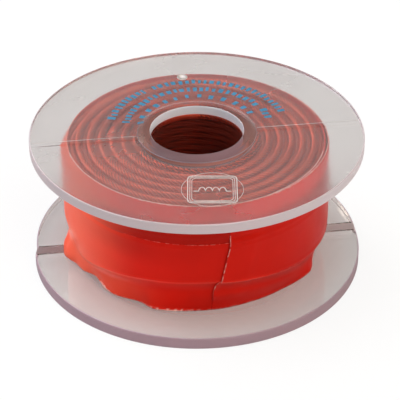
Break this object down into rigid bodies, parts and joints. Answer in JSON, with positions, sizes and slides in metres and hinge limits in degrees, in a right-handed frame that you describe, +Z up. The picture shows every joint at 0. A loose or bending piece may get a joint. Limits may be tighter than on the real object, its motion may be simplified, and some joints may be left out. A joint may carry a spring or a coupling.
{
  "type": "air core inductor",
  "caption": "Air core inductor: a clear plastic bobbin with two round flanges and an open bore, wound with twisted copper wire and wrapped in red tape.",
  "frame": {"origin": "centre of the lower flange's underside, on the bore axis", "axes": "+Z up the bore; +X to the right and -Y towards the side with the end of the tape"},
  "size_m": [0.082, 0.082, 0.0358],
  "materials": {
    "clear_plastic": "clear moulded plastic with a faint mauve-grey haze, glossy",
    "enamelled_copper": "twisted copper strands under reddish-brown enamel, glossy",
    "red_tape": "thin red film tape, satin to glossy"
  },
  "bodies": {
    "root": {"bobbin": "clear_plastic", "winding": "enamelled_copper", "upper_tape": "red_tape", "lower_tape": "red_tape"}
  },
  "joints": []
}
